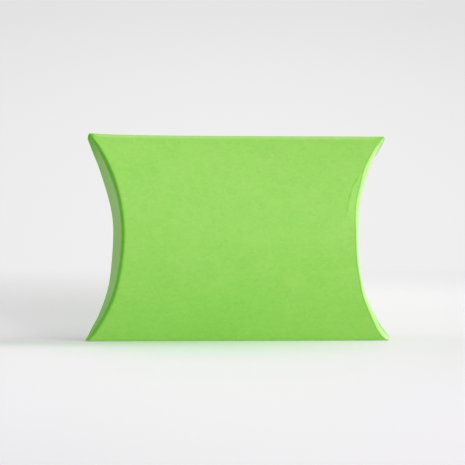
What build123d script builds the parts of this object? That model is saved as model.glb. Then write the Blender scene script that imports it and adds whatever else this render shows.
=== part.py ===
from build123d import *

import os
from math import atan2, degrees, sqrt

# A pillow box of dyed card: one sheet, folded twice and glued once, so that two bowed panels make a
# sleeve, with two curved flaps to close each end. It stands on its seam fold. X runs along the long
# folds, the front panel faces -Y, Z is up, and z = 0 is the ground. All lengths are in millimetres.

# The whole box
box_length = 100.0  # tip to tip, along the top fold
upper_height = 34.0  # from the widest line of the section up to the crest of the top fold
box_depth = 22.0  # over both panels, at the widest line
card = 0.45  # 350 g/m2 card

# The two long folds
top_fold_inner_radius = 0.45
seam_fold_inner_radius = 0.15
crest_pressed = 0.1  # how far each fold's crest is pressed flat

# Glue tab
glue_gap = 0.15  # between the tab and the back panel
glue_clearance = 0.03  # on each side of the film of glue
glue_tab_width = 12.0
glue_tab_end_gap = 2.5  # from the curved crease to the end of the tab
glue_margin = 1.5  # dry edge of the tab

# Curved creases
bend_inner_radius = 0.45
crease_margin = 0.2  # of straight card beside the bend that the crease takes up
crease_spans = 16  # the bend is made of this many straight lengths

# Closing flaps
root_clearance = 0.15
lap_gap = 0.15  # between the two flaps of one end
free_edge_inset = 0.3  # from the outer flap's free edge to the face of the back panel
flap_tip_width = 1.9  # the outer flap is cut off where it has narrowed to this
inner_flap_past_middle = 2.6  # how far the inner flap reaches past the middle plane

overrun = 5.0  # of cutting bodies past what they cut
arm_spare_share = 0.1  # of the overrun, by which a crease's arms are made longer and then cut

# Which way: the front and the back panel along Y, the left and the right end along X
front, back = -1, 1
left, right = -1, 1

# Folds and bends are turned about their inside, so their outer radius has the card in it
top_fold_radius = top_fold_inner_radius + card
seam_fold_radius = seam_fold_inner_radius + card
bend_radius = bend_inner_radius + card

# A panel's outer face is an arc that runs into the top fold without a corner
half_depth = box_depth / 2
unpressed_height = upper_height + crest_pressed
panel_radius = (half_depth**2 + unpressed_height**2 - 2 * unpressed_height * top_fold_radius) / (
    2 * (half_depth - top_fold_radius)
)
panel_offset = panel_radius - half_depth  # from the middle plane to each panel's axis
top_fold_rise = unpressed_height - top_fold_radius
top_angle = degrees(atan2(top_fold_rise, panel_offset))

# The seam fold touches the front panel's outer face and the tab's outer face, which lies one card and
# one layer of glue inside the back panel
tab_radius = panel_radius - card - glue_gap
front_reach = panel_radius - seam_fold_radius
tab_reach = tab_radius - seam_fold_radius
seam_fold_y = (tab_reach**2 - front_reach**2) / (4 * panel_offset)
seam_fold_drop = sqrt(front_reach**2 - (panel_offset - seam_fold_y) ** 2)
seam_front_angle = degrees(atan2(seam_fold_drop, panel_offset - seam_fold_y))
seam_tab_angle = degrees(atan2(seam_fold_drop, panel_offset + seam_fold_y))
middle_z = seam_fold_drop + seam_fold_radius - crest_pressed  # the widest line, above the ground
top_z = middle_z + upper_height

# A curved crease is flat in its own plane only if both sheets that meet in it bend alike, so the
# hollow of each end has the radius of the panels
end_radius = panel_radius
end_middle_x = box_length / 2 - (end_radius - sqrt(end_radius**2 - upper_height**2))
end_axis_x = end_middle_x + end_radius

# The back panel's creases are set back, so that the inner flaps nest behind the outer ones
lap = card + lap_gap
crease_setback = {front: 0, back: lap}
crease_arm = bend_radius + crease_margin  # from the corner to each end of the crease's strip
flap_root = crease_arm + card + root_clearance  # from the corner to the flap's own card

# Creases and flaps reach to the height at which the panels have come this near to the middle plane
tip_half_depth = (flap_tip_width + flap_root + free_edge_inset) / 2
crease_reach = sqrt(panel_radius**2 - (panel_offset + tip_half_depth) ** 2)


def along_x(side, radius):
    """Cylinder about the axis of the panel on this side."""
    place = Pos(0, -side * panel_offset, middle_z) * Rot(0, 90, 0)
    return place * Cylinder(radius, box_length + 2 * overrun)


def along_y(end, radius):
    """Cylinder about the axis that the hollow of this end is bent round."""
    place = Pos(end * end_axis_x, 0, middle_z) * Rot(90, 0, 0)
    return place * Cylinder(radius, box_depth + 2 * overrun)


def flap_zone():
    """The heights between which panels are creased and flaps hang."""
    place = Pos(0, 0, middle_z)
    return place * Box(box_length + 2 * overrun, box_depth + 2 * overrun, 2 * crease_reach)


def card_section(centre_y, centre_z, outer_radius, start, sweep, thickness=card):
    """Section of a bent sheet across the box: two arcs about one centre, joined at their ends."""
    outer = CenterArc((centre_y, centre_z), outer_radius, start, sweep)
    inner = CenterArc((centre_y, centre_z), outer_radius - thickness, start, sweep)
    return make_face([outer, inner, Line(outer @ 0, inner @ 0), Line(outer @ 1, inner @ 1)])


def run_along_box(section):
    """The section drawn out over the whole length of the box."""
    return extrude(Plane.YZ * section, amount=box_length / 2 + overrun, both=True)


def cut_ends(sheet, setback):
    """The sheet with both ends cut to the hollow of the box's ends, this far inside it."""
    for end in (left, right):
        sheet -= along_y(end, end_radius + setback)
    return sheet


def above_ground(sheet):
    """The sheet with what would reach below the ground pressed or cut away."""
    size = box_length + box_depth
    return sheet - Pos(0, 0, -size / 2) * Box(2 * size, size, size)


def creased_panel(section, side):
    """A panel with its folds' ends reaching the tips, and the rest stopping at the curved creases."""
    setback = crease_setback[side]
    sheet = cut_ends(run_along_box(section), setback)
    for end in (left, right):
        sheet -= along_y(end, end_radius + setback + crease_arm) & flap_zone()
    return sheet


def front_panel():
    start = 180 - top_angle
    section = card_section(panel_offset, middle_z, panel_radius, start, top_angle + seam_front_angle)
    return creased_panel(section, front)


def back_panel():
    ground_angle = degrees(atan2(middle_z, sqrt((panel_radius - card) ** 2 - middle_z**2)))
    section = card_section(
        -panel_offset, middle_z, panel_radius, -ground_angle, ground_angle + top_angle
    )
    return above_ground(creased_panel(section, back))


def top_fold():
    """The plain fold, with its crest pressed flat."""
    sweep = 180 - 2 * top_angle
    section = card_section(0, middle_z + top_fold_rise, top_fold_radius, top_angle, sweep)
    strip = cut_ends(run_along_box(section), crease_setback[front])
    size = box_length + box_depth
    return strip - Pos(0, 0, top_z + size / 2) * Box(2 * size, size, size)


def seam_fold():
    """The fold from the front panel into the glue tab, with its crest pressed flat on the ground."""
    sweep = 180 - seam_front_angle - seam_tab_angle
    section = card_section(
        seam_fold_y, middle_z - seam_fold_drop, seam_fold_radius, 180 + seam_front_angle, sweep
    )
    return above_ground(cut_ends(run_along_box(section), crease_setback[front]))


def glue_tab():
    sweep = degrees(glue_tab_width / tab_radius)
    section = card_section(-panel_offset, middle_z, tab_radius, -seam_tab_angle, sweep)
    return cut_ends(run_along_box(section), lap + crease_arm + glue_tab_end_gap)


def glue_line():
    """The glue that holds the tab to the back panel."""
    start = degrees(glue_margin / tab_radius) - seam_tab_angle
    sweep = degrees((glue_tab_width - 2 * glue_margin) / tab_radius)
    film = glue_gap - 2 * glue_clearance
    face_radius = tab_radius + glue_gap - glue_clearance
    section = card_section(-panel_offset, middle_z, face_radius, start, sweep, film)
    return cut_ends(run_along_box(section), lap + crease_arm + glue_tab_end_gap + glue_margin)


def corner_at(side, end, height, inset):
    """Where a panel's face and its end's face, both this far down in the card, meet at a height
    above the widest line."""
    hollow_radius = end_radius + crease_setback[side] + inset
    x = end_axis_x - sqrt(hollow_radius**2 - height**2)
    y = sqrt((panel_radius - inset) ** 2 - height**2) - panel_offset
    return end * x, side * y


def bend_section(side, end, height):
    """Level section of the bend of a crease: card round a corner, with an arm beside each face that
    the crease's strip is cut from."""
    arm = crease_arm + overrun * arm_spare_share
    outer_x, outer_y = corner_at(side, end, height, 0)
    inner_x, inner_y = corner_at(side, end, height, card)
    end_x, end_y = outer_x - end * arm, outer_y - side * arm
    level_card = abs(inner_y - outer_y)
    face = FilletPolyline(
        (end_x, outer_y), (outer_x, outer_y), (outer_x, end_y), radius=bend_radius
    )
    inside = FilletPolyline(
        (end_x, inner_y), (inner_x, inner_y), (inner_x, end_y), radius=bend_radius - level_card
    )
    ends = Line((end_x, outer_y), (end_x, inner_y)) + Line((outer_x, end_y), (inner_x, end_y))
    return Pos(0, 0, middle_z + height) * make_face(face.edges() + inside.edges() + ends.edges())


def crease_strip(side, end):
    """The curved bend of card between a panel and its flap, with the edges of its neighbours."""
    step = 2 * crease_reach / crease_spans
    heights = [n * step - crease_reach for n in range(crease_spans + 1)]
    strip = loft([bend_section(side, end, height) for height in heights], ruled=True)
    strip &= along_y(end, end_radius + crease_setback[side] + crease_arm)
    return strip - along_x(side, panel_radius - crease_arm)


def flap(side, end):
    """A closing flap, from its root beside the crease to its free edge."""
    face_radius = end_radius + crease_setback[side]
    sheet = along_y(end, face_radius + card) - along_y(end, face_radius)
    sheet &= flap_zone() & along_x(side, panel_radius - flap_root)
    return sheet & inside_free_edge(side)


def inside_free_edge(side):
    """The outer flap reaches right across to the other panel, the inner one a little past the
    middle."""
    if side == front:
        return along_x(back, panel_radius - free_edge_inset)
    bow = inner_flap_past_middle
    radius = (upper_height**2 + bow**2) / (2 * bow)
    place = Pos(0, side * (radius - bow), middle_z) * Rot(0, 90, 0)
    return place * Cylinder(radius, box_length + 2 * overrun)


def all_parts():
    parts = {
        "front_panel": front_panel(),
        "back_panel": back_panel(),
        "top_fold": top_fold(),
        "seam_fold": seam_fold(),
        "glue_tab": glue_tab(),
        "glue_line": glue_line(),
    }
    for end, end_name in ((left, "left"), (right, "right")):
        for side, side_name in ((front, "outer"), (back, "inner")):
            parts[f"{end_name}_{side_name}_crease"] = crease_strip(side, end)
            parts[f"{end_name}_{side_name}_flap"] = flap(side, end)
    return parts


def main():
    os.makedirs("parts", exist_ok=True)
    for name, shape in all_parts().items():
        solid = shape.solids()[0] if len(shape.solids()) == 1 else shape
        solid.label = name
        export_step(solid, f"parts/{name}.step")
    print("panel radius", round(panel_radius, 2), "overall height", round(top_z, 2))
    print("creases reach", round(crease_reach, 2), "above and below", round(middle_z, 2))
    print("middle of each end at x", round(end_middle_x, 2), "seam fold at y", round(seam_fold_y, 2))


main()
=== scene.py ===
# %% [markdown]
# # A pillow box of lime green card
#
# A pillow box is one flat sheet of card that turns into a box by bending: two bowed panels make a
# sleeve, and two curved flaps at each end fold in and snap shut. There is no straight wall
# anywhere, so all of its character is in how thin card bends, and in how soft light rolls over
# those bends. In this lesson the box is made as sheets of points that formulas place. Modelling it
# by hand with loops and bevels could work too, but a curved crease is easier to get right as a
# formula, because the panel and the flap then share one and the same line.

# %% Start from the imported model
import math
import bpy
import numpy as np
from mathutils import Matrix, Vector


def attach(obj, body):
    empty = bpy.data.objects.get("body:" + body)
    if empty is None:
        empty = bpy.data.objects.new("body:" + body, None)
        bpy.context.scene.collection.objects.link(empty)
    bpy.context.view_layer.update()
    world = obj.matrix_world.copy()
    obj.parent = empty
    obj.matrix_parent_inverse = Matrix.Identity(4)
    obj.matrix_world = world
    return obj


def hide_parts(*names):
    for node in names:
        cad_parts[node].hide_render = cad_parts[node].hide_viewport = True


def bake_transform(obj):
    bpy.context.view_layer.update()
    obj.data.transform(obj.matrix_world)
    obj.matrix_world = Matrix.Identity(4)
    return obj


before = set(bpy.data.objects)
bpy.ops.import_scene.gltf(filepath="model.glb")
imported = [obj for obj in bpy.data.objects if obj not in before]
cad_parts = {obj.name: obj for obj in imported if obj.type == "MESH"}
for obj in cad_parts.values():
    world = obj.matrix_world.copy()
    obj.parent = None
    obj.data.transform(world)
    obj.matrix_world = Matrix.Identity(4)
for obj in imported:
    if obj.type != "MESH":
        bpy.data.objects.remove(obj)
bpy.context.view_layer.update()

# %% [markdown]
# ## Units
#
# Blender counts in metres, and a box maker thinks in millimetres. All sizes below are written in
# millimetres, and each mesh is multiplied by `MM` once, at the moment it is made. Angles stay in
# radians, as numpy wants them. Nothing on a folded box is quite even, so three tools are made at
# the start: a hill, a step, and a size that changes with the height by hills and steps.

# %% One millimetre, and three small tools
MM = 0.001


def bump(level, centre, width):
    """A smooth hill of height 1, for small irregularities that fade out on both sides."""
    return np.exp(-(((level - centre) / width) ** 2))


def ease(value, start, end):
    """A smooth step from 0 at the start to 1 at the end, which may be above or below the start."""
    t = np.clip((value - start) / (end - start), 0, 1)
    return t * t * (3 - 2 * t)


def wander(level, base, hills, steps):
    """A size that changes with the level. A hill is its height, the level of its top and its width.
    A step is its height and the levels at which it starts and ends."""
    size = base + sum(height * bump(level, top, width) for height, top, width in hills)
    return size + sum(height * ease(level, start, end) for height, start, end in steps)


print("one millimetre is", MM, "m")

# %% [markdown]
# ## The sizes of the blank
#
# The two panels are bowed to an arc, and so is the hollow of each end. When the hollow has the
# same radius as the panels, the crease where they meet lies flat in one slanting plane, which is
# why card can bend along it at all. The top fold is a plain folded edge. The bottom fold is the
# same with a glue tab behind it.

# %% The section of the sleeve, worked out from a few sizes
LENGTH = 100.0  # tip to tip
UPPER_HEIGHT = 34.0  # widest line to top crest
DEPTH = 22.0
CARD = 0.45
TOP_FOLD_RADIUS = 0.9
SEAM_FOLD_RADIUS = 0.6
CREST_PRESSED = 0.1  # both crests are squeezed a little flat
GLUE_GAP = 0.15
GLUE_TAB_WIDTH = 12.0
LAP = 0.6  # the back panel's creases are set back by a card and its play

half_depth = DEPTH / 2
rise = UPPER_HEIGHT + CREST_PRESSED
panel_radius = (half_depth**2 + rise**2 - 2 * rise * TOP_FOLD_RADIUS) / (
    2 * (half_depth - TOP_FOLD_RADIUS)
)
panel_offset = panel_radius - half_depth
top_fold_rise = rise - TOP_FOLD_RADIUS
top_angle = math.atan2(top_fold_rise, panel_offset)

tab_radius = panel_radius - CARD - GLUE_GAP
front_reach = panel_radius - SEAM_FOLD_RADIUS
tab_reach = tab_radius - SEAM_FOLD_RADIUS
seam_y = (tab_reach**2 - front_reach**2) / (4 * panel_offset)
seam_drop = math.sqrt(front_reach**2 - (panel_offset - seam_y) ** 2)
seam_front_angle = math.atan2(seam_drop, panel_offset - seam_y)
seam_tab_angle = math.atan2(seam_drop, panel_offset + seam_y)
middle_z = seam_drop + SEAM_FOLD_RADIUS - CREST_PRESSED

end_radius = panel_radius
end_middle_x = LENGTH / 2 - (end_radius - math.sqrt(end_radius**2 - UPPER_HEIGHT**2))
end_axis_x = end_middle_x + end_radius
print(f"panels bowed to {panel_radius:.1f} mm, widest line {middle_z:.1f} mm above the floor")

# %% [markdown]
# ## Cards as sheets of points
#
# Every piece of card here starts as a grid of points on its outer face. One function gives it
# thickness: it finds the direction square to the sheet at each point, places a second grid one
# card further in, and closes the rim between them with a band of faces. Blender's Solidify
# modifier does the same. Doing it in numpy keeps both faces at hand, so that each point of both can
# be given a number for painted shade and highlight.

# %% From a grid of points to a sheet with thickness
LEFT, RIGHT = -1, 1
FRONT, BACK = -1, 1
END_NAME = {LEFT: "left", RIGHT: "right"}
SIDE_NAME = {FRONT: "outer", BACK: "inner"}  # which flap hangs on this panel
SHARP_ANGLE = math.radians(35)  # edges sharper than this are shaded as edges


def directions(grid):
    """Unit vectors square to a grid of points, from how it runs along rows and columns."""
    down, along = np.gradient(grid, axis=0), np.gradient(grid, axis=1)
    normals = np.cross(along, down)
    return normals / np.linalg.norm(normals, axis=2, keepdims=True)


def card_sheet(name, grid, painted_shading_grid, flip=False):
    """A closed sheet of card from the points of its outer face, in millimetres. The painted shading
    at each point, from -1, painted highlight, to 1, painted shade, is kept with the mesh."""
    rows, columns, _ = grid.shape
    normals = directions(grid) * (-1 if flip else 1)
    points = np.concatenate([grid.reshape(-1, 3), (grid - normals * CARD).reshape(-1, 3)])
    number = np.arange(rows * columns).reshape(rows, columns)
    a, b, c, d = number[:-1, :-1], number[:-1, 1:], number[1:, 1:], number[1:, :-1]
    quads = np.stack([a, b, c, d], axis=2).reshape(-1, 4)
    outer = quads[:, ::-1] if flip else quads
    inner = outer[:, ::-1] + rows * columns
    border = np.concatenate(
        [number[0, :-1], number[:-1, -1], number[-1, :0:-1], number[:0:-1, 0]]
    )
    following = np.roll(border, -1)
    rim = np.stack([border, border + rows * columns, following + rows * columns, following], 1)
    rim = rim[:, ::-1] if flip else rim
    mesh = bpy.data.meshes.new(name)
    mesh.from_pydata((points * MM).tolist(), [], np.concatenate([outer, inner, rim]).tolist())
    mesh.update()
    mesh.shade_smooth()
    mesh.set_sharp_from_angle(angle=SHARP_ANGLE)
    painted_shading = mesh.attributes.new("painted_shading", "FLOAT", "POINT")
    painted_shading.data.foreach_set("value", np.tile(painted_shading_grid.ravel(), 2).astype(np.float32))
    piece = bpy.data.objects.new(name, mesh)
    bpy.context.collection.objects.link(piece)
    return piece


print("a card is", CARD, "mm thick")

# %% [markdown]
# ## Where each crease runs
#
# On a perfect box the crease is a clean arc. On a real one the card gives: the hollow of the left
# end is a little shallow, the right end was pressed in above the middle, and near the tips both
# creases wander by a few tenths of a millimetre. So the arc is only the start, and tables of small
# hills and steps bend it to this box. A sculpting brush could do that too, but numbers can be
# nudged one by one. The bend itself is tight in the middle of each end, where the panels are
# widest apart. Towards the corners its facet gets wider, and at the very tips everything shrinks,
# because there is less depth to turn in.

# %% The corner line of each end, and how its bend is made
CREASE_REACH = 33.4  # the flaps hang between these heights above and below the widest line
PANEL_MARGIN = 0.4  # of flat card that goes with the bend
CREASE_RADIUS = {LEFT: 0.5, RIGHT: 0.4}
FIRST_TURN = {LEFT: math.radians(58), RIGHT: math.radians(40)}
INNER_BEND = 0.7  # the bends of the inner flaps have this share of the outer ones' sizes
TIP_CLEAR = 0.3  # of depth that the bend leaves free at the tips
SHRINK_POWER = 6  # the higher, the later and the harder the bend shrinks towards the tips

# How far each crease lies outside the perfect arc: the height, level and width of each hill, and
# the height, start and end of each step
LEFT_TIP = {FRONT: (0.3, 33, 2.6), BACK: (0.2, 33, 2.6)}
CREASE_HILLS = {
    LEFT: [(0.45, -6, 13)],
    RIGHT: [(-0.3, -4, 14), (-0.5, 14, 7), (0.15, 26, 5), (0.2, 22, 6), (0.3, -23, 5)],
}
CREASE_STEPS = {
    LEFT: [(-0.25, -28, -18), (-0.5, 31.5, 34), (-0.2, 33, 34)],
    RIGHT: [(0.95, -17, -25.5), (0.5, -28.5, -33.5), (-0.6, 32, 34), (-0.45, 14, 27)],
}

# Base size, hills and steps of the facet's width and of the shoulder's radius
FACET = {
    LEFT: (0.9, [], [(0.75, 9, 26), (0.4, -12, -28), (-0.3, 24, 31), (-0.3, -22, -32)]),
    RIGHT: (
        0.5,
        [(0.7, 9, 8), (0.7, 24, 4), (0.4, 22, 6), (0.4, -23, 5)],
        [(0.35, -16, -25), (0.4, 28, 32), (0.55, -23, -31), (0.25, 4, 18)],
    ),
}
SHOULDER = {
    LEFT: (0.6, [], []),
    RIGHT: (1.3, [], [(1.7, 3, 25), (1.1, -12, -25), (-1.8, -23, -31)]),
}


def corner(end, side, level):
    """Where the outer faces of a panel and its flap would meet if the bend were sharp."""
    x = end_axis_x - np.sqrt((end_radius + (LAP if side == BACK else 0)) ** 2 - level**2)
    hills = CREASE_HILLS[end] + ([LEFT_TIP[side]] if end == LEFT else [])
    y = np.sqrt(panel_radius**2 - level**2) - panel_offset
    return wander(level, x, hills, CREASE_STEPS[end]), y


def bend_sizes(end, side, level):
    """The turn at the crease, its radius, the width of the facet and the radius of the shoulder
    after it. All sizes shrink towards the tips, where there is less depth to bend in."""
    turn, crease = FIRST_TURN[end], CREASE_RADIUS[end]
    share = INNER_BEND if side == BACK else 1
    facet, shoulder = (share * wander(level, *sizes[end]) for sizes in (FACET, SHOULDER))
    depth = crease * (1 - math.cos(turn)) + facet * math.sin(turn) + shoulder * math.cos(turn)
    room = corner(end, side, level)[1] - TIP_CLEAR
    shrink = (1 + (depth / room) ** SHRINK_POWER) ** (-1 / SHRINK_POWER)
    return turn, crease * shrink, facet * shrink, shoulder * shrink


def bend_length(end, side, level):
    """How much of the box's length the whole bend takes up."""
    turn, crease, facet, shoulder = bend_sizes(end, side, level)
    return crease * math.sin(turn) + facet * math.cos(turn) + shoulder * (1 - math.sin(turn))


for end, name in END_NAME.items():
    x, width = corner(end, FRONT, 0.0)[0], bend_length(end, FRONT, 0.0)
    print(f"{name} crease: {x:.2f} mm out at its middle, bend {width:.2f} mm")

# %% [markdown]
# ## The sleeve
#
# The sleeve is one strip of card that starts as the glue tab, turns at the seam fold, runs up the
# front panel, over the top fold and down the back panel to a raw edge. It is drawn as one grid:
# each row follows the length of the box, and the rows step round the section. Near the ends the
# points are packed closely, because the second crease and the curve of the end need them.

# %% Rows round the section
def arc(centre_y, centre_z, radius, angles):
    """Points of an arc across the box as (y, z)."""
    return np.stack([centre_y + radius * np.cos(angles), centre_z + radius * np.sin(angles)], 1)


HAIR = 0.02  # keeps two rows from falling together
TIP_ROWS, LEVEL_ROWS, TAB_ROWS, SEAM_ROWS, TOP_ROWS = 4, 121, 10, 9, 11
top_of_panel = panel_radius * math.sin(top_angle)
foot_of_panel = -panel_radius * math.sin(seam_front_angle)

levels = np.linspace(-CREASE_REACH, CREASE_REACH, LEVEL_ROWS)
tip_levels = np.linspace(CREASE_REACH + HAIR, top_of_panel, TIP_ROWS)
foot_levels = np.linspace(foot_of_panel, -CREASE_REACH - HAIR, TIP_ROWS)
front_levels = np.concatenate([foot_levels, levels, tip_levels])
back_levels = np.concatenate([tip_levels[::-1], levels[::-1], [HAIR - middle_z]])

tab_angles = np.linspace(GLUE_TAB_WIDTH / tab_radius, 0, TAB_ROWS) - seam_tab_angle
seam_angles = np.linspace(-seam_tab_angle, -math.pi + seam_front_angle, SEAM_ROWS)[1:-1]
top_angles = np.linspace(math.pi - top_angle, top_angle, TOP_ROWS)[1:-1]

section = np.concatenate([
    arc(-panel_offset, middle_z, tab_radius, tab_angles),
    arc(seam_y, middle_z - seam_drop, SEAM_FOLD_RADIUS, seam_angles),
    arc(panel_offset, middle_z, panel_radius, math.pi - np.arcsin(front_levels / panel_radius)),
    arc(0, middle_z + top_fold_rise, TOP_FOLD_RADIUS, top_angles),
    arc(-panel_offset, middle_z, panel_radius, np.arcsin(back_levels / panel_radius)),
])
parts_of_section = (
    ["tab"] * len(tab_angles) + ["seam"] * len(seam_angles) + ["front"] * len(front_levels)
    + ["top"] * len(top_angles) + ["back"] * len(back_levels)
)
print(len(section), "rows round the sleeve")

# %% [markdown]
# ## The second crease
#
# On the front panel near the right end a faint dark line runs beside the crease, and the strip
# between the two is lighter, because it is tilted a few degrees towards the window. Someone
# pressed the end in there while closing it. Beyond the line the card slopes back, and the line
# itself is a shallow groove, darkened partly by its real shape and partly by painted shade.

# %% How far the card is pressed in
PRESSED_SLOPE = math.tan(math.radians(6.5))
PRESSED_REACH = 4.0  # of slope, after which the card runs level again
PRESSED_FOOT, PRESSED_TOP = (4, 10), (20, 24.5)  # levels over which the slope starts and ends
LINE_INSET = 1.2  # from the bend to the second crease, where they are nearest
LINE_KINK, KINK_LEVELS = 1.4, (22, 16.5)  # below its top the line turns inward
LINE_LEAN, LEAN_TOP, LEAN_DROP = 0.04, 16, 12  # and then leans in for each millimetre further down
GROOVE_DEPTH, GROOVE_WIDTH = 0.05, 0.22
GROOVE_FOOT = (7, 12)  # levels over which the groove starts
GROOVE_WAVES = 1.3  # the line is deeper and shallower by turns, about every 5 mm
GROOVE_EVEN = 0.75  # of its depth lasts all along


def pressed_in(x, level):
    """Depth below the perfect front panel at the right end, and the painted shade of its groove."""
    edge = corner(RIGHT, FRONT, level)[0] - bend_length(RIGHT, FRONT, level)
    line = edge - LINE_INSET - LINE_KINK * ease(level, *KINK_LEVELS)
    line = line - LINE_LEAN * np.clip(LEAN_TOP - level, 0, LEAN_DROP)
    upper_end = 1 - ease(level, *PRESSED_TOP)
    back = PRESSED_SLOPE * np.clip(x - line, 0, PRESSED_REACH)
    slope = back * ease(level, *PRESSED_FOOT) * upper_end
    groove = bump(x, line, GROOVE_WIDTH) * ease(level, *GROOVE_FOOT) * upper_end
    groove = groove * (GROOVE_EVEN + (1 - GROOVE_EVEN) * np.cos(GROOVE_WAVES * level))
    return slope + GROOVE_DEPTH * groove, groove


print(f"pressed in by up to {pressed_in(np.array(40.0), 15.0)[0]:.2f} mm")

# %% [markdown]
# ## How the folds bend, and their painted shade and highlight
#
# The top fold of this box isn't quite straight: its ends come forward by a millimetre or so, and
# the left tip is bent up a little. Each point also keeps a number for painted light and shade:
# above 0 the material paints the dye deeper as shade, and below 0 paler as a highlight. A painted
# picture could say the same, but a number at each point needs no unwrapping.

# %% The bends of the top fold, and the painted shade and highlight of both folds
UPTURN, UPTURN_FADE, UPTURN_LEVELS = 0.8, 12.0, (22, 33)  # at the top left tip
FORWARD, FORWARD_LEVELS = 1.6, (0, 34)  # at both ends of the top fold
# painted shade on the seam fold and at the foot of the front panel, where the bottom edge turns
# under
SEAM_PAINTED_SHADE = 0.3
FOOT_PAINTED_SHADE, FOOT_LEVELS = 0.15, (-32.2, -33.4)
NOSE_X, NOSE_LEVELS = (-47.2, -48.6), (32.7, 33.5)  # painted shade on the left tip
CREST_HIGHLIGHT, CREST_HIGHLIGHT_LEVELS = 0.45, (32.8, 33.6)  # painted highlight along the crest of the top fold
CREST_HIGHLIGHT_LEFT_END, CREST_HIGHLIGHT_RIGHT_END = (-46, -48), (45, 48)  # but not at its tips


def upturned(x, level):
    """How much the top left tip is bent upward."""
    return UPTURN * np.exp(-(x + LENGTH / 2) / UPTURN_FADE) * ease(level, *UPTURN_LEVELS)


def brought_forward(x, level):
    """How much the tips of the top fold are bent towards the front."""
    return FORWARD * (x / (LENGTH / 2)) ** 2 * ease(level, *FORWARD_LEVELS)


def fold_painted_shading(x, level, part, painted_shading):
    """Painted shade at the seam, foot, groove and left tip, and painted highlight on the crest."""
    bottom_shade = SEAM_PAINTED_SHADE if part == "seam" else FOOT_PAINTED_SHADE * ease(level, *FOOT_LEVELS)
    nose = ease(x, *NOSE_X) * ease(level, *NOSE_LEVELS)
    crest_highlight = CREST_HIGHLIGHT * (1 - ease(x, *CREST_HIGHLIGHT_LEFT_END) - ease(x, *CREST_HIGHLIGHT_RIGHT_END))
    return np.maximum(painted_shading, bottom_shade) + nose - crest_highlight * ease(level, *CREST_HIGHLIGHT_LEVELS)


print("the tips come forward by", FORWARD, "mm, and the left one goes up by", UPTURN, "mm")

# %% [markdown]
# ## The sleeve as one sheet
#
# Each row gets a length of its own. The glue tab stops short of the curved ends, the panels stop
# where the bend into the flaps begins, and only the folds run out to the tips.

# %% How far each row reaches, and the finished sleeve
TAB_END_GAP = 3.8  # from the curved end to the end of the glue tab
TIP_BEND = 0.25  # over this height the rows run out from the crease to the tips
END_STEPS = np.concatenate([np.linspace(0, 5, 41), np.linspace(5, 18, 14)[1:]])
MIDDLE_STEPS = 17


def row_end(end, part, level):
    """How far from the middle of the box this row ends."""
    if part == "tab":
        return corner(end, BACK, level)[0] - TAB_END_GAP
    if part in ("seam", "top"):
        return corner(end, FRONT, level)[0]
    side = FRONT if part == "front" else BACK
    arm = bend_length(end, side, level) + PANEL_MARGIN
    at_tip = ease(abs(level), CREASE_REACH, CREASE_REACH + TIP_BEND)
    return corner(end, side, level)[0] - arm * (1 - at_tip)


def sleeve_grid():
    """The points of the sleeve's outer face, and the painted shading at each."""
    rows, painted_shading_grid = [], []
    for (y, z), part in zip(section, parts_of_section):
        level = z - middle_z
        left, right = row_end(LEFT, part, level), row_end(RIGHT, part, level)
        middle = np.linspace(-left + END_STEPS[-1], right - END_STEPS[-1], MIDDLE_STEPS)[1:-1]
        x = np.concatenate([-left + END_STEPS, middle, right - END_STEPS[::-1]])
        depth, painted_shading = pressed_in(x, level) if part == "front" else (0 * x, 0 * x)
        rows.append(np.stack([x, y + depth - brought_forward(x, level), np.full_like(x, z)], 1))
        painted_shading_grid.append(fold_painted_shading(x, level, part, painted_shading))
    points = np.array(rows)
    points[:, :, 2] = np.clip(points[:, :, 2], 0, middle_z + UPPER_HEIGHT)  # the pressed crests
    points[:, :, 2] += upturned(points[:, :, 0], points[:, :, 2] - middle_z)
    return points, np.array(painted_shading_grid)


sleeve = card_sheet("sleeve_card", *sleeve_grid())
print("sleeve:", len(sleeve.data.vertices), "points on its two faces")

# %% [markdown]
# ## The closing flaps
#
# Each flap starts at the panel, turns sharply at the crease, runs along a narrow facet, turns the
# rest of the way and lies across the end. At any height that is a simple line. Stacking those
# lines level by level gives the saddle shape of a snapped-in flap. The outer flap's free edge
# springs out a little towards the corners, because bent card wants to be flat again.

# %% One flap, level by level
FREE_EDGE_INSET = 0.3  # from the outer flap's free edge to the face of the back panel
PAST_MIDDLE = 2.6  # how far the inner flap reaches past the middle of the box
TURN_POINTS, FLAP_POINTS = 6, 26
FACET_SHARES = np.array([1 / 3, 2 / 3, 1])
SPRING_POWER = 1.7  # the flap springs off more and more towards its free edge
SPRING = {
    LEFT: (
        0.0,
        [(0.2, 28, 3), (-0.25, -15, 6)],
        [(1.3, 2, 22), (-0.35, 28, 33), (-0.45, 32, 33.4), (0.4, -25.5, -30)],
    ),
    RIGHT: (0.0, [], [(1.3, 2, 22), (-0.5, 29, 33), (1.55, -2, -22)]),
}
RIGHT_SPRING_END = (-32, -34.5)  # the levels over which it fades at the right foot


def free_edge(side, level):
    """Where the flap ends across the box, measured towards its own panel."""
    if side == FRONT:
        return -(np.sqrt((panel_radius - FREE_EDGE_INSET) ** 2 - level**2) - panel_offset)
    radius = (UPPER_HEIGHT**2 + PAST_MIDDLE**2) / (2 * PAST_MIDDLE)
    return -(np.sqrt(radius**2 - level**2) - radius + PAST_MIDDLE)


def spring(end, side, level):
    """How far the free edge stands off the perfect hollow."""
    if side == BACK:
        return 0.0
    lift = wander(level, *SPRING[end])
    return lift * (1 - ease(level, *RIGHT_SPRING_END)) if end == RIGHT else lift


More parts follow.
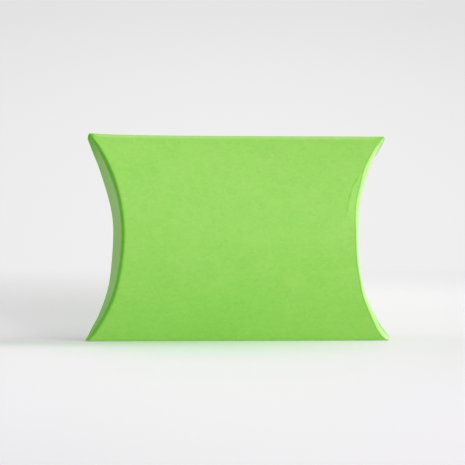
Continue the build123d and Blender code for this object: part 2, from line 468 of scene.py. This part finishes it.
def bend_line(end, side, level):
    """The outer face from the panel through the bend to the root of the flap, as x and y."""
    x_corner, y_corner = corner(end, side, level)
    first_turn, radius, width, shoulder = bend_sizes(end, side, level)
    start = x_corner - bend_length(end, side, level)
    turn = np.linspace(0, first_turn, TURN_POINTS)
    first = np.stack([start + radius * np.sin(turn), y_corner - radius * (1 - np.cos(turn))], 1)
    along = np.array([math.cos(first_turn), -math.sin(first_turn)])
    facet = first[-1] + along * width * FACET_SHARES[:, None]
    turn = np.linspace(first_turn, math.pi / 2, TURN_POINTS)[1:]
    last = facet[-1] + shoulder * np.stack([
        np.sin(turn) - math.sin(first_turn), np.cos(turn) - math.cos(first_turn)
    ], 1)
    margin = np.array([[start - PANEL_MARGIN, y_corner], [start - PANEL_MARGIN / 2, y_corner]])
    return np.concatenate([margin, first, facet, last])


print(f"the left flap springs out by {spring(LEFT, FRONT, 25.0):.2f} mm near its top corner")

# %% [markdown]
# ## Painted shade and highlight on the flaps
#
# Along the left crease a painted shade deepens the dye all the way, where the bend turns away from
# the light, and on the right end a painted highlight pales the shoulder that faces the low window.
# Both fade out over the first two millimetres of the flap. More painted shade darkens the left
# flaps towards their tips.

# %% Painted shade and highlight across a bend and its flap
# Across the bend, from the panel to the flap: above 0 painted shade, below 0 painted highlight
BEND_PAINTED_SHADING = {
    LEFT: np.concatenate([
        [0, 0.5, 0.7], np.linspace(0.7, 1, TURN_POINTS - 1), [1, 1, 0.9],
        np.linspace(0.8, 0.3, TURN_POINTS - 1),
    ]),
    RIGHT: np.concatenate([
        [0, 0.5, 0.7, 0.3], np.linspace(0, -0.1, TURN_POINTS - 2), [-0.2, -0.4, -0.6],
        np.linspace(-0.75, -1, TURN_POINTS - 1),
    ]),
}
PAINTED_SHADING_SHARE = {FRONT: 1.0, BACK: 0.5}
RIGHT_FADE, RIGHT_FADE_LEVELS = 0.8, (27, 33)  # the share that is lost towards the top right tip
PAINTED_SHADING_REACH = (0.3, 2.2)  # from the bend, where the painted shading of the flap fades out
# painted shade on the left flaps towards their lower and upper tips
LEFT_TIP_PAINTED_SHADE = (0.0, [], [(0.9, -14, -30), (1.0, 24, 33)])


def flap_painted_shading(end, side, level, y):
    """The painted shading across the bend and over the flap, whose points lie at these y."""
    bend = BEND_PAINTED_SHADING[end] * PAINTED_SHADING_SHARE[side]
    if end == RIGHT:
        bend = bend * (1 - RIGHT_FADE * ease(level, *RIGHT_FADE_LEVELS))
    rest = bend[-1] * (1 - ease(np.abs(y - y[0]), *PAINTED_SHADING_REACH))
    if end == LEFT:
        rest = np.maximum(rest, wander(level, *LEFT_TIP_PAINTED_SHADE))
    return np.concatenate([bend, rest])


print("treatment given at", len(BEND_PAINTED_SHADING[LEFT]), "points across each bend")

# %% [markdown]
# ## Four flaps
#
# All four flaps come from one function. The strip at the right end that was pressed in carries on
# into the root of the outer flap and fades out there, so that the two sheets still meet.

# %% The points of a flap, and all four flaps
def flap_grid(end, side):
    """The points of a flap's outer face with its bend, and the painted shading at each."""
    rows, painted_shading_grid = [], []
    for level in levels:
        bend = bend_line(end, side, level)
        share = np.linspace(0, 1, FLAP_POINTS)[1:]
        y = bend[-1, 1] + (free_edge(side, level) - bend[-1, 1]) * share
        x = bend[-1, 0] + spring(end, side, level) * share**SPRING_POWER
        line = np.concatenate([bend, np.stack([x, y], 1)])
        if (end, side) == (RIGHT, FRONT):
            fade = np.concatenate([np.ones(len(bend)), 1 - share])
            line[:, 1] -= pressed_in(line[:, 0], level)[0] * fade
        height = middle_z + level + upturned(end * line[:, 0], level)
        across = side * line[:, 1] - brought_forward(line[:, 0], level)
        rows.append(np.stack([end * line[:, 0], across, height], 1))
        painted_shading_grid.append(flap_painted_shading(end, side, level, y))
    return np.array(rows), np.array(painted_shading_grid)


flaps = {}
for end in (LEFT, RIGHT):
    for side in (FRONT, BACK):
        name = f"{END_NAME[end]}_{SIDE_NAME[side]}_flap_card"
        flaps[end, side] = card_sheet(name, *flap_grid(end, side), flip=end * side > 0)
        print(name, len(flaps[end, side].data.vertices), "points")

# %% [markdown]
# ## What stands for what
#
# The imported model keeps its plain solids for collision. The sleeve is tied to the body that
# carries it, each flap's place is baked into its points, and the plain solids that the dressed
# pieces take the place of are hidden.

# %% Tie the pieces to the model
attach(sleeve, "sleeve")
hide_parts("front_panel", "back_panel", "top_fold", "seam_fold", "glue_tab")

for (end, side), piece in flaps.items():
    body = f"{END_NAME[end]}_{SIDE_NAME[side]}"
    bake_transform(piece)
    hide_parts(f"{body}_crease", f"{body}_flap")
    print(piece.name, "bends from the sleeve to", body)

# %% [markdown]
# ## Colour and the node helper
#
# Colours are given as hex values of a screen, and Blender works in linear light, so one function
# turns the first into the second. A second small function adds a node, sets what it is told and
# links what it is given, and every material below is built with it.

# %% Hex to linear, and one node at a time
def colour(hex_value):
    """A screen colour such as 9EDB60 as linear red, green, blue and alpha."""
    channels = [int(hex_value[n:n + 2], 16) / 255 for n in (0, 2, 4)]
    linear = [c / 12.92 if c <= 0.04045 else ((c + 0.055) / 1.055) ** 2.4 for c in channels]
    return (*linear, 1.0)


def add(tree, kind, settings=None, **inputs):
    """Adds a node. Settings are its own values, inputs are numbers, colours or other sockets."""
    node = tree.nodes.new(kind)
    for key, value in (settings or {}).items():
        setattr(node, key, value)
    for key, value in inputs.items():
        socket = node.inputs[int(key[1:]) if key[1:].isdigit() else key.replace("_", " ")]
        if isinstance(value, bpy.types.NodeSocket):
            tree.links.new(value, socket)
        else:
            socket.default_value = value
    return node


print("lime in linear light:", [round(c, 3) for c in colour("9EDB60")])

# %% [markdown]
# ## Nodes that come back
#
# Some kinds of node come back in every material, so each gets a short function of its own: a noise
# of a given grain, a ramp or a mix between two colours, one number out of two, and a question that
# the floor and the room both ask, whether an eye looks this way. Grains are given in millimetres,
# because that is how one would measure them on the real thing.

# %% Noise, ramp, mix, and what an eye sees
LUMP = 4  # grains across the coarsest lumps of a noise


def noise(tree, where, grain, **inputs):
    """A noise whose coarsest lumps are about four grains across. The grain is in millimetres."""
    return add(tree, "ShaderNodeTexNoise", {"noise_dimensions": "3D"}, Vector=where,
               Scale=1 / (LUMP * grain * MM), **inputs).outputs["Fac"]


def ramp(tree, value, low, low_colour, high, high_colour):
    """Goes from one colour to another between two values."""
    node = add(tree, "ShaderNodeValToRGB", Fac=value)
    for element, place, hex_value in zip(
        node.color_ramp.elements, (low, high), (low_colour, high_colour)
    ):
        element.position, element.color = place, colour(hex_value)
    return node.outputs["Color"]


def mix(tree, share, first, second, blend_type="MIX"):
    """Mixes two colours by a share."""
    return add(tree, "ShaderNodeMix", {"data_type": "RGBA", "blend_type": blend_type},
               i0=share, i6=first, i7=second).outputs[2]


def combined(tree, operation, first, second):
    """One number from two."""
    return add(tree, "ShaderNodeMath", {"operation": operation}, i0=first, i1=second).outputs[0]


def seen_by_eye(tree):
    """1 for the rays that come from the camera, or from it by way of something shiny or clear."""
    ray = add(tree, "ShaderNodeLightPath")
    seen = combined(tree, "MAXIMUM", ray.outputs["Is Camera Ray"], ray.outputs["Is Glossy Ray"])
    return combined(tree, "MAXIMUM", seen, ray.outputs["Is Transmission Ray"])


def new_tree(block):
    """The empty node tree of a new material or world."""
    block.use_nodes = True
    block.node_tree.nodes.clear()
    return block.node_tree


print("a grain of 1 mm makes lumps of", LUMP, "mm")

# %% [markdown]
# ## Dyed card
#
# The box is cut from uncoated board that is dyed through, so its edges have the colour of its
# faces. Pulp never takes dye quite evenly: soft clouds a few millimetres across come from how the
# fibres settled on the paper machine's wire, and single fibres show as faint short hairs. The
# surface is matte, but seen at a glancing angle it lifts towards grey, because every rough surface
# reflects more there, and a little sheen stands for the fine hairs of the pulp. Two Mix nodes paint
# light and shade into the dye with the number that the mesh carries: above 0 they deepen it as
# painted shade, and below 0 they pale it as a painted highlight.

# %% Uncoated dyed board
CLOUD_GRAIN, FIBRE_GRAIN, TOOTH_GRAIN = 2.6, 0.42, 0.25
FIBRE_STRETCH = (0.7, 1.0, 1.0)  # fibres lie more along the box than across it
FIBRE_SHARE = 0.8
PAINTED_HIGHLIGHT_SHARE = -0.75  # values below 0 are painted highlight
TOOTH_HEIGHT = 0.02 * MM

card = bpy.data.materials.new("uncoated_dyed_board")
tree = new_tree(card)
place = add(tree, "ShaderNodeTexCoord").outputs["Object"]
clouds = noise(tree, place, CLOUD_GRAIN, Detail=5.0, Roughness=0.62)
stretched = add(tree, "ShaderNodeMapping", {"vector_type": "POINT"}, Vector=place,
                Scale=FIBRE_STRETCH)
fibres = noise(tree, stretched.outputs["Vector"], FIBRE_GRAIN, Detail=3.0, Roughness=0.7,
               Distortion=1.2)
cloud_tint = ramp(tree, clouds, 0.32, "97DA58", 0.70, "A0DC60")
fibre_tint = ramp(tree, fibres, 0.30, "F0F4EC", 0.62, "FFFFFF")
dye = mix(tree, FIBRE_SHARE, cloud_tint, fibre_tint, "MULTIPLY")
# the mesh's number paints shade by deepening the dye, and paints highlight by paling it
painted_shading = add(tree, "ShaderNodeAttribute",
             {"attribute_name": "painted_shading", "attribute_type": "GEOMETRY"})
dye_with_painted_shade = mix(tree, painted_shading.outputs["Fac"], dye, colour("C0EA8C"), "MULTIPLY")
painted_highlight_amount = add(tree, "ShaderNodeMath", {"operation": "MULTIPLY", "use_clamp": True},
              i0=painted_shading.outputs["Fac"], i1=PAINTED_HIGHLIGHT_SHARE)
dye_with_painted_highlight = mix(tree, painted_highlight_amount.outputs[0], dye_with_painted_shade, colour("DCE8BC"))
tooth = noise(tree, place, TOOTH_GRAIN, Detail=4.0, Roughness=0.6)
relief = add(tree, "ShaderNodeBump", Height=tooth, Strength=0.25, Distance=TOOTH_HEIGHT)
board = add(tree, "ShaderNodeBsdfPrincipled", Base_Color=dye_with_painted_highlight, Roughness=0.55, IOR=1.45,
            Normal=relief.outputs["Normal"], Sheen_Weight=0.2, Sheen_Roughness=0.4)
add(tree, "ShaderNodeOutputMaterial", Surface=board.outputs["BSDF"])
for piece in [sleeve, *flaps.values()]:
    piece.data.materials.append(card)
print("card pieces:", 1 + len(flaps))

# %% [markdown]
# ## Glue
#
# The tab is held by a thin film of dried white glue. It only shows when a flap is open, as a
# satin, slightly yellowed line, so the model's own strip stays and just gets a finish.

# %% Dried white glue
GLUE_GRAIN = 1.5
RIPPLE_HEIGHT = 0.05 * MM

glue = bpy.data.materials.new("dried_white_glue")
tree = new_tree(glue)
place = add(tree, "ShaderNodeTexCoord").outputs["Object"]
ripple = noise(tree, place, GLUE_GRAIN, Detail=2.0)
film_tint = mix(tree, ripple, colour("E4E2D2"), colour("EFEEE4"))
film_relief = add(tree, "ShaderNodeBump", Height=ripple, Strength=0.3, Distance=RIPPLE_HEIGHT)
film = add(tree, "ShaderNodeBsdfPrincipled", Base_Color=film_tint, Roughness=0.38, IOR=1.47,
           Normal=film_relief.outputs["Normal"])
add(tree, "ShaderNodeOutputMaterial", Surface=film.outputs["BSDF"])
glue_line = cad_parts["glue_line"]
glue_line.data.materials.clear()
glue_line.data.materials.append(glue)
print("glue finish on", glue_line.name)

# %% [markdown]
# ## Floor and backdrop
#
# The box stands on a long sheet of white paper. Close behind the box the paper bends up a little,
# so that a soft shadow can lie on it, then it runs on far behind and only there turns into a wall.
# A wall close behind the box would hide it from a camera that goes round to the back. The sheet is
# a grid again, whose profile is a chain of arcs.

# %% The white sweep
SWEEP_WIDTH = 4400.0
SWEEP_FRONT = -2200.0
RISE_START = 18.0  # behind the middle of the box
RISE_RADIUS, CREST_RADIUS = 105.0, 60.0
RISE_ANGLE, FAR_ANGLE = math.radians(28), math.radians(3.5)
FAR_LENGTH, FAR_STEPS = 1850.0, (0.1, 0.4, 1.0)
WALL_RADIUS, WALL_HEIGHT = 300.0, 1600.0


def bend_on(profile, radius, from_angle, to_angle, points):
    """Carries a profile on with an arc that turns from one slope to another."""
    y, z = profile[-1]
    sign = 1 if to_angle > from_angle else -1  # hollow or crest
    angles = np.linspace(from_angle, to_angle, points)[1:]
    ys = y + sign * radius * (np.sin(angles) - math.sin(from_angle))
    zs = z - sign * radius * (np.cos(angles) - math.cos(from_angle))
    return profile + list(zip(ys.tolist(), zs.tolist()))


profile = [(SWEEP_FRONT, 0.0), (SWEEP_FRONT / 4, 0.0), (RISE_START, 0.0)]
profile = bend_on(profile, RISE_RADIUS, 0.0, RISE_ANGLE, points=15)
profile = bend_on(profile, CREST_RADIUS, RISE_ANGLE, FAR_ANGLE, points=12)
y, z = profile[-1]
for step in FAR_STEPS:
    profile.append((y + step * FAR_LENGTH, z + step * FAR_LENGTH * math.tan(FAR_ANGLE)))
profile = bend_on(profile, WALL_RADIUS, FAR_ANGLE, math.pi / 2, points=20)
profile.append((profile[-1][0], WALL_HEIGHT))
edges = (-SWEEP_WIDTH / 2, SWEEP_WIDTH / 2)
sweep_points = [(x * MM, y * MM, z * MM) for y, z in profile for x in edges]
sweep_faces = [(2 * n, 2 * n + 1, 2 * n + 3, 2 * n + 2) for n in range(len(profile) - 1)]
sweep_mesh = bpy.data.meshes.new("white_sweep")
sweep_mesh.from_pydata(sweep_points, [], sweep_faces)
sweep_mesh.shade_smooth()
sweep = bpy.data.objects.new("white_sweep", sweep_mesh)
bpy.context.collection.objects.link(sweep)
print("sweep:", len(sweep_faces), "faces")

# %% [markdown]
# ## Soft spots on the paper
#
# The paper isn't the same all over: its colour and its brightness change from place to place,
# always softly, over a round or oval spot. Two functions make such spots. One measures the
# distance from a place, and a scale for each axis squeezes the spot. The other turns a distance
# into a smooth change between two values. A painted mask could do the same, but here each spot has
# a place and a size that can be read.

# %% Distance from a place, and a smooth change with it
paper = bpy.data.materials.new("matte_white_paper")
paper_tree = new_tree(paper)
on_paper = add(paper_tree, "ShaderNodeTexCoord").outputs["Object"]
behind = add(paper_tree, "ShaderNodeSeparateXYZ", Vector=on_paper).outputs["Y"]


def how_far(centre, scale, turn=0.0):
    """The distance from a place on the paper, which can be turned first."""
    turned = add(paper_tree, "ShaderNodeMapping", {"vector_type": "POINT"}, Vector=on_paper,
                 Rotation=(0.0, 0.0, turn))
    squeezed = add(paper_tree, "ShaderNodeMapping", {"vector_type": "POINT"},
                   Vector=turned.outputs["Vector"], Scale=scale)
    middle = Vector([c * k for c, k in zip(centre, scale)]) * MM
    return add(paper_tree, "ShaderNodeVectorMath", {"operation": "DISTANCE"},
               i0=squeezed.outputs["Vector"], i1=middle).outputs["Value"]


def between(value, low, high, at_low, at_high):
    """One value that goes smoothly over into another between two distances."""
    return add(paper_tree, "ShaderNodeMapRange", {"interpolation_type": "SMOOTHSTEP"}, i0=value,
               i1=low * MM, i2=high * MM, i3=at_low, i4=at_high).outputs["Result"]


print("spots can be laid on", paper.name)

# %% [markdown]
# ## White paper
#
# White paper takes its light from the room like everything else. Away from the box its colour
# turns greyer, which paints shade towards the top and the sides and makes the paper throw less
# light back on the box. In front of the foot of the box a painted shade with a green tint stands
# for the contact shade and for the light that goes to and fro between card and paper.

# %% The colour of the paper
PAPER_GRAIN = 5 / 6
GREY_CENTRE, GREY_SCALE = (-15.0, 0.0, 10.0), (0.6, 0.0, 1.0)
GREY_FROM, GREY_TO = 8.0, 190.0
FOOT_CENTRE, FOOT_SCALE, FOOT_RADIUS = (-20.0, -11.0, 0.0), (0.6, 0.5, 1.0), 48.0

paper_tooth = noise(paper_tree, on_paper, PAPER_GRAIN, Detail=2.0)
paper_tint = mix(paper_tree, paper_tooth, colour("F2EFF1"), colour("F4F1F3"))
# greyer away from the box: painted shade towards the top and the sides, and less light thrown back
grey = between(how_far(GREY_CENTRE, GREY_SCALE), GREY_FROM, GREY_TO, 0.0, 1.0)
graded = mix(paper_tree, grey, paper_tint, colour("CFCFCF"))
# painted contact shade, tinted with the green of light bounced from the card, in front of the box
foot = between(how_far(FOOT_CENTRE, FOOT_SCALE), 0.0, FOOT_RADIUS, 1.0, 0.0)
in_front = between(behind, FOOT_CENTRE[1], 0.0, 1.0, 0.0)
painted_foot_shade = combined(paper_tree, "MULTIPLY", foot, in_front)
paper_with_painted_foot_shade = mix(paper_tree, painted_foot_shade, graded, colour("D6EBD8"))
surface = add(paper_tree, "ShaderNodeBsdfPrincipled", Base_Color=paper_with_painted_foot_shade, Roughness=0.6)
print("the paper is greyest from", GREY_TO, "mm away")

# %% [markdown]
# ## The paper as the camera sees it
#
# A photograph that is exposed for white paper shows it brighter than plain light does. So for the
# eye of the camera the paper glows a little with painted light, in one wide pool and a small low
# one behind the right end. `Light Path` keeps this glow off the box: only rays that come from the
# camera, or by way of a shiny or clear surface, see it. At the left of the box the glow is weaker,
# which paints the shadow there deeper. Behind the rise the paper is seen in a pale grey of its own,
# which darkens a little with distance as painted shade.

# %% How brightly the paper is seen
POOL_LIGHT = 0.275
POOL_CENTRE, POOL_SCALE, POOL_RADIUS = (-400.0, -150.0, 0.0), (0.5, 0.6, 0.0), 600.0
LOW_LIGHT = 0.04
LOW_CENTRE, LOW_SCALE, LOW_RADIUS = (90.0, 25.0, 3.0), (0.15, 0.4, 1.0), 30.0
SHADE_CENTRE, SHADE_SCALE, SHADE_RADIUS = (-66.0, 2.0, 0.0), (0.25, 1.0, 1.0), 46.0
SHADE_SHARE = 0.75  # of the glow that is taken away in the middle of the shade
FAR_CENTRE, FAR_SCALE, FAR_RADIUS = (12.0, 350.0, 0.0), (6.8, 1.0, 0.0), 2400.0
FAR_TURN = math.radians(9.0)
FAR_FROM, FAR_TO = 62.0, 100.0  # behind the middle of the box

seen = seen_by_eye(paper_tree)
pool = between(how_far(POOL_CENTRE, POOL_SCALE), 0.0, POOL_RADIUS, POOL_LIGHT, 0.0)
low_pool = between(how_far(LOW_CENTRE, LOW_SCALE), 0.0, LOW_RADIUS, LOW_LIGHT, 0.0)
pools = combined(paper_tree, "ADD", pool, low_pool)
shaded = between(how_far(SHADE_CENTRE, SHADE_SCALE), 0.0, SHADE_RADIUS, 1 - SHADE_SHARE, 1.0)
glow_seen = combined(paper_tree, "MULTIPLY", seen, combined(paper_tree, "MULTIPLY", pools, shaded))
glow = add(paper_tree, "ShaderNodeEmission", Color=colour("FFFFFF"), Strength=glow_seen)
lifted = add(paper_tree, "ShaderNodeAddShader", i0=surface.outputs["BSDF"],
             i1=glow.outputs["Emission"])

far_grade = between(how_far(FAR_CENTRE, FAR_SCALE, FAR_TURN), 0.0, FAR_RADIUS, 0.0, 1.0)
far_tint = mix(paper_tree, far_grade, colour("F0F0F0"), colour("E2E2E2"))
far_paper = add(paper_tree, "ShaderNodeEmission", Color=far_tint, Strength=1.0)
far_share = combined(paper_tree, "MULTIPLY", seen, between(behind, FAR_FROM, FAR_TO, 0.0, 1.0))
paper_seen = add(paper_tree, "ShaderNodeMixShader", i0=far_share, i1=lifted.outputs["Shader"],
                 i2=far_paper.outputs["Emission"])
add(paper_tree, "ShaderNodeOutputMaterial", Surface=paper_seen.outputs["Shader"])
sweep_mesh.materials.append(paper)
print("the paper glows by up to", POOL_LIGHT)

# %% [markdown]
# ## Light
#
# The box is lit by a wide soft window to the right and in front, by a small low one at its right
# that brightens the rim of that end, and by the rest of a white room. Two area lamps are the
# windows, and the world's even grey is the room. Together they light a surface that faces the
# camera to about its own colour. `Light Path` is used again here: the room is seen pale, and gives
# its own plain light.

# %% Two windows and a white room
WINDOW_FROM_FRONT, WINDOW_RAISED = math.radians(42), math.radians(21)
WINDOW_DISTANCE = 2200.0
WINDOW_SIZE = 1400.0
WINDOW_POWER = 27.5
SIDE_FROM_FRONT, SIDE_RAISED = math.radians(90), math.radians(8)
SIDE_DISTANCE = 1500.0
SIDE_SIZE = 500.0
SIDE_POWER = 7.0
ROOM_LEVEL = 0.55

world = bpy.data.worlds.new("white_room")
tree = new_tree(world)
room = add(tree, "ShaderNodeBackground", Color=colour("F7F8FA"), Strength=ROOM_LEVEL)
room_seen = add(tree, "ShaderNodeBackground", Color=colour("E8E8E8"), Strength=1.0)
both = add(tree, "ShaderNodeMixShader", i0=seen_by_eye(tree), i1=room.outputs["Background"],
           i2=room_seen.outputs["Background"])
add(tree, "ShaderNodeOutputWorld", Surface=both.outputs["Shader"])
bpy.context.scene.world = world


def toward_lamp(from_front, raised):
    """The direction of a lamp, turned from the front to the right and raised above the floor."""
    flat = math.cos(raised)  # the part of it that lies along the floor
    return Vector((flat * math.sin(from_front), -flat * math.cos(from_front), math.sin(raised)))


def soft_lamp(name, position, size, power):
    """A square white lamp that faces the middle of the box."""
    lamp = bpy.data.lights.new(name, "AREA")
    lamp.shape, lamp.size, lamp.energy = "SQUARE", size * MM, power
    holder = bpy.data.objects.new(name, lamp)
    holder.location = position * MM
    toward = Vector((0, 0, middle_z)) * MM - holder.location
    holder.rotation_mode = "QUATERNION"
    holder.rotation_quaternion = toward.to_track_quat("-Z", "Y")
    bpy.context.collection.objects.link(holder)


soft_lamp("window", WINDOW_DISTANCE * toward_lamp(WINDOW_FROM_FRONT, WINDOW_RAISED),
          WINDOW_SIZE, WINDOW_POWER)
soft_lamp("side_window", SIDE_DISTANCE * toward_lamp(SIDE_FROM_FRONT, SIDE_RAISED),
          SIDE_SIZE, SIDE_POWER)
print("windows:", WINDOW_POWER, "W from the front right,", SIDE_POWER, "W from the right")

# %% [markdown]
# ## Camera
#
# The picture was taken nearly level with the box and a few degrees to its left, from far enough
# away that the top and bottom edges stay almost parallel. The lens is worked out from how many
# millimetres the picture shows at the box.

# %% The camera
CAMERA_DISTANCE = 1500.0
SENSOR_WIDTH = 36.0
YAW, PITCH, ROLL = math.radians(9.0), math.radians(2.0), math.radians(0.35)
PICTURE_WIDTH = 153.6  # mm at the box
AIM_LEFT, AIM_UP = 1.32, 2.13  # the picture's middle, from the box's

flat = math.cos(PITCH)
forward = Vector((math.sin(YAW) * flat, math.cos(YAW) * flat, -math.sin(PITCH)))
sideways = forward.cross(Vector((0, 0, 1))).normalized()
upward = sideways.cross(forward)
aim = Vector((0, 0, middle_z)) - sideways * AIM_LEFT + upward * AIM_UP

camera_data = bpy.data.cameras.new("camera")
camera_data.sensor_width = SENSOR_WIDTH
camera_data.lens = SENSOR_WIDTH * CAMERA_DISTANCE / PICTURE_WIDTH
camera = bpy.data.objects.new("camera", camera_data)
camera.matrix_world = (
    Matrix.Translation((aim - forward * CAMERA_DISTANCE) * MM)
    @ Matrix((
        (sideways.x, upward.x, -forward.x, 0),
        (sideways.y, upward.y, -forward.y, 0),
        (sideways.z, upward.z, -forward.z, 0),
        (0, 0, 0, 1),
    ))
    @ Matrix.Rotation(ROLL, 4, "Z")
)
bpy.context.collection.objects.link(camera)
bpy.context.scene.camera = camera
bpy.context.scene.view_settings.view_transform = "Standard"
print(f"lens {camera_data.lens:.0f} mm, {CAMERA_DISTANCE:.0f} mm away")
